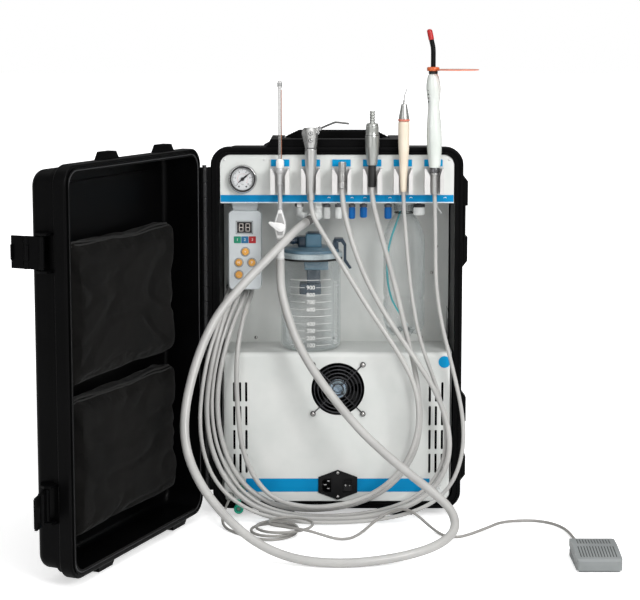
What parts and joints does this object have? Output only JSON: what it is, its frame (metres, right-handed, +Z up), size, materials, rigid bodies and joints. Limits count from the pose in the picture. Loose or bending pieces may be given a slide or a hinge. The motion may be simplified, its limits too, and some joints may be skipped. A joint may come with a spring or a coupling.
{
  "type": "portable dental unit",
  "caption": "Portable dental treatment unit in an upright hard case with a side-hinged lid, hanging hand instruments, suction jar, water bottle, pressure gauge and a foot pedal on a cable.",
  "frame": {"origin": "floor level under the middle of the case base, on the face it stands on", "axes": "+Z up, +X to the right of the front as a user faces it, -Y towards the user"},
  "size_m": [0.8922, 0.6189, 0.802],
  "materials": {
    "case_black": "satin",
    "hinge_steel": "satin",
    "handle_black": "matte",
    "pocket_nylon": "matte",
    "panel_white": "satin",
    "screw_steel": "satin",
    "holder_white": "gloss",
    "gauge_chrome": "polished",
    "needle_black": "matte",
    "control_grey": "satin",
    "fan_black": "satin",
    "guard_wire": "satin",
    "inlet_black": "satin",
    "jar_clear": "clear",
    "jar_blue": "satin",
    "bottle_clear": "clear",
    "fitting_white": "satin",
    "knob_blue": "gloss",
    "key_orange": "satin",
    "ejector_white": "satin",
    "tool_metal": "satin",
    "syringe_grey": "satin",
    "scaler_cream": "satin",
    "light_white": "gloss",
    "light_guide": "gloss",
    "hose_grey": "satin",
    "pedal_grey": "satin",
    "compressor_metal": "satin"
  },
  "bodies": {
    "unit": {"case_base": "case_black", "case_hinge_pin": "hinge_steel", "fascia_panel": "panel_white", "recess_back_panel": "panel_white", "front_cover": "panel_white", "panel_screws": "screw_steel", "instrument_holders": "holder_white", "gauge_body": "gauge_chrome", "control_box": "control_grey", "fan_frame": "fan_black", "fan_guard": "guard_wire", "power_inlet": "inlet_black", "suction_jar": "jar_clear", "jar_lid": "jar_blue", "water_bottle": "bottle_clear", "hose_fittings": "fitting_white", "ejector_body": "ejector_white", "turbine_coupling": "tool_metal", "air_motor": "tool_metal", "syringe_body": "syringe_grey", "scaler_handpiece": "scaler_cream", "curing_light": "light_white", "suction_hose": "hose_grey", "syringe_hose": "hose_grey", "turbine_hose": "hose_grey", "motor_hose": "hose_grey", "scaler_cable": "hose_grey", "curing_light_cable": "hose_grey", "pedal_cable": "hose_grey", "pedal_base": "pedal_grey", "compressor": "compressor_metal", "air_tank": "compressor_metal"},
    "lid": {"lid_shell": "case_black", "pocket_upper": "pocket_nylon", "pocket_lower": "pocket_nylon"},
    "handle": {"carry_handle": "handle_black"},
    "latch_upper_arm": {"latch_upper_arm": "case_black"},
    "latch_upper_lever": {"latch_upper_lever": "case_black"},
    "latch_lower_arm": {"latch_lower_arm": "case_black"},
    "latch_lower_lever": {"latch_lower_lever": "case_black"},
    "needle": {"gauge_needle": "needle_black"},
    "impeller": {"fan_impeller": "fan_black"},
    "rocker": {"rocker_switch": "inlet_black"},
    "clamp": {"jar_clamp": "jar_blue"},
    "ejector_lever": {"ejector_lever": "ejector_white"},
    "nozzle": {"syringe_nozzle": "tool_metal"},
    "air_button": {"syringe_air_button": "tool_metal"},
    "water_button": {"syringe_water_button": "tool_metal"},
    "light_guide": {"curing_light_guide": "light_guide"},
    "treadle": {"pedal_treadle": "pedal_grey"},
    "syringe_water_knob": {"syringe_water_knob": "fitting_white"},
    "syringe_air_knob": {"syringe_air_knob": "fitting_white"},
    "bottle_pressure_knob": {"bottle_pressure_knob": "fitting_white"},
    "turbine_water_knob": {"turbine_water_knob": "knob_blue"},
    "turbine_air_knob": {"turbine_air_knob": "knob_blue"},
    "motor_water_knob": {"motor_water_knob": "knob_blue"},
    "key_up": {"key_up": "key_orange"},
    "key_left": {"key_left": "key_orange"},
    "key_right": {"key_right": "key_orange"},
    "key_down": {"key_down": "key_orange"}
  },
  "joints": [
    {"name": "lid_hinge", "type": "hinge", "parent": "unit", "child": "lid", "pos_m": [-0.216, -0.095, 0.31375], "axis": [0, 0, -1], "range_deg": [-10, 66]},
    {"name": "handle_hinge", "type": "hinge", "parent": "unit", "child": "handle", "pos_m": [0, -0.048, 0.62], "axis": [1, 0, 0], "range_deg": [0, 90]},
    {"name": "latch_upper_arm_hinge", "type": "hinge", "parent": "lid", "child": "latch_upper_arm", "pos_m": [-0.4206, -0.47275, 0.491], "axis": [0, 0, 1], "range_deg": [0, 170]},
    {"name": "latch_upper_lever_hinge", "type": "hinge", "parent": "latch_upper_arm", "child": "latch_upper_lever", "pos_m": [-0.44352, -0.46278, 0.491], "axis": [0, 0, -1], "range_deg": [0, 60]},
    {"name": "latch_lower_arm_hinge", "type": "hinge", "parent": "lid", "child": "latch_lower_arm", "pos_m": [-0.4206, -0.47275, 0.126], "axis": [0, 0, 1], "range_deg": [-98, 65]},
    {"name": "latch_lower_lever_hinge", "type": "hinge", "parent": "latch_lower_arm", "child": "latch_lower_lever", "pos_m": [-0.42429, -0.49747, 0.126], "axis": [0, 0, -1], "range_deg": [0, 90]},
    {"name": "needle_turn", "type": "hinge", "parent": "unit", "child": "needle", "pos_m": [-0.1536, -0.0993, 0.564], "axis": [0, 1, 0], "range_deg": [-185, 85]},
    {"name": "impeller_spin", "type": "hinge", "parent": "unit", "child": "impeller", "pos_m": [0.0018, -0.08, 0.215], "axis": [0, 1, 0], "continuous": true},
    {"name": "rocker_tip", "type": "hinge", "parent": "unit", "child": "rocker", "pos_m": [0.0182, -0.0912, 0.0522], "axis": [1, 0, 0], "range_deg": [0, 14]},
    {"name": "syringe_water_valve", "type": "hinge", "parent": "unit", "child": "syringe_water_knob", "pos_m": [-0.0163, -0.07, 0.51], "axis": [0, 0, 1], "range_deg": [0, 270]},
    {"name": "syringe_air_valve", "type": "hinge", "parent": "unit", "child": "syringe_air_knob", "pos_m": [0.0027, -0.07, 0.51], "axis": [0, 0, 1], "range_deg": [0, 270]},
    {"name": "turbine_water_valve", "type": "hinge", "parent": "unit", "child": "turbine_water_knob", "pos_m": [0.0249, -0.07, 0.51], "axis": [0, 0, 1], "range_deg": [0, 270]},
    {"name": "turbine_air_valve", "type": "hinge", "parent": "unit", "child": "turbine_air_knob", "pos_m": [0.0438, -0.07, 0.51], "axis": [0, 0, 1], "range_deg": [0, 270]},
    {"name": "motor_water_valve", "type": "hinge", "parent": "unit", "child": "motor_water_knob", "pos_m": [0.0842, -0.07, 0.51], "axis": [0, 0, 1], "range_deg": [0, 270]},
    {"name": "bottle_pressure_valve", "type": "hinge", "parent": "unit", "child": "bottle_pressure_knob", "pos_m": [0.1352, -0.07, 0.51], "axis": [0, 0, 1], "range_deg": [0, 270]},
    {"name": "key_up_press", "type": "slide", "parent": "unit", "child": "key_up", "axis": [0, 1, 0], "range_m": [0, 0.0005], "stiffness_N_per_m": 400, "springref_m": -0.0005},
    {"name": "key_left_press", "type": "slide", "parent": "unit", "child": "key_left", "axis": [0, 1, 0], "range_m": [0, 0.0005], "stiffness_N_per_m": 400, "springref_m": -0.0005},
    {"name": "key_right_press", "type": "slide", "parent": "unit", "child": "key_right", "axis": [0, 1, 0], "range_m": [0, 0.0005], "stiffness_N_per_m": 400, "springref_m": -0.0005},
    {"name": "key_down_press", "type": "slide", "parent": "unit", "child": "key_down", "axis": [0, 1, 0], "range_m": [0, 0.0005], "stiffness_N_per_m": 400, "springref_m": -0.0005},
    {"name": "clamp_hinge", "type": "hinge", "parent": "unit", "child": "clamp", "pos_m": [-0.002, -0.043, 0.453], "axis": [0, -1, 0], "range_deg": [0, 70]},
    {"name": "ejector_lever_turn", "type": "hinge", "parent": "unit", "child": "ejector_lever", "pos_m": [-0.0925, -0.121, 0.493], "axis": [0, -1, 0], "range_deg": [0, 90]},
    {"name": "nozzle_swivel", "type": "hinge", "parent": "unit", "child": "nozzle", "pos_m": [-0.0415, -0.111, 0.6405], "axis": [0.9146, 0, 0.4044], "continuous": true},
    {"name": "air_button_press", "type": "slide", "parent": "unit", "child": "air_button", "axis": [0, 1, 0], "range_m": [0, 0.002], "stiffness_N_per_m": 300, "springref_m": -0.001},
    {"name": "water_button_press", "type": "slide", "parent": "unit", "child": "water_button", "axis": [0, 1, 0], "range_m": [0, 0.002], "stiffness_N_per_m": 300, "springref_m": -0.001},
    {"name": "light_guide_turn", "type": "hinge", "parent": "unit", "child": "light_guide", "pos_m": [0.158, -0.111, 0.74], "axis": [0, 0, 1], "continuous": true},
    {"name": "treadle_tip", "type": "hinge", "parent": "unit", "child": "treadle", "pos_m": [0.39, -0.385, 0.012], "axis": [-1, 0, 0], "range_deg": [0, 4], "stiffness_Nm_per_rad": 2, "springref_deg": -3.44}
  ]
}
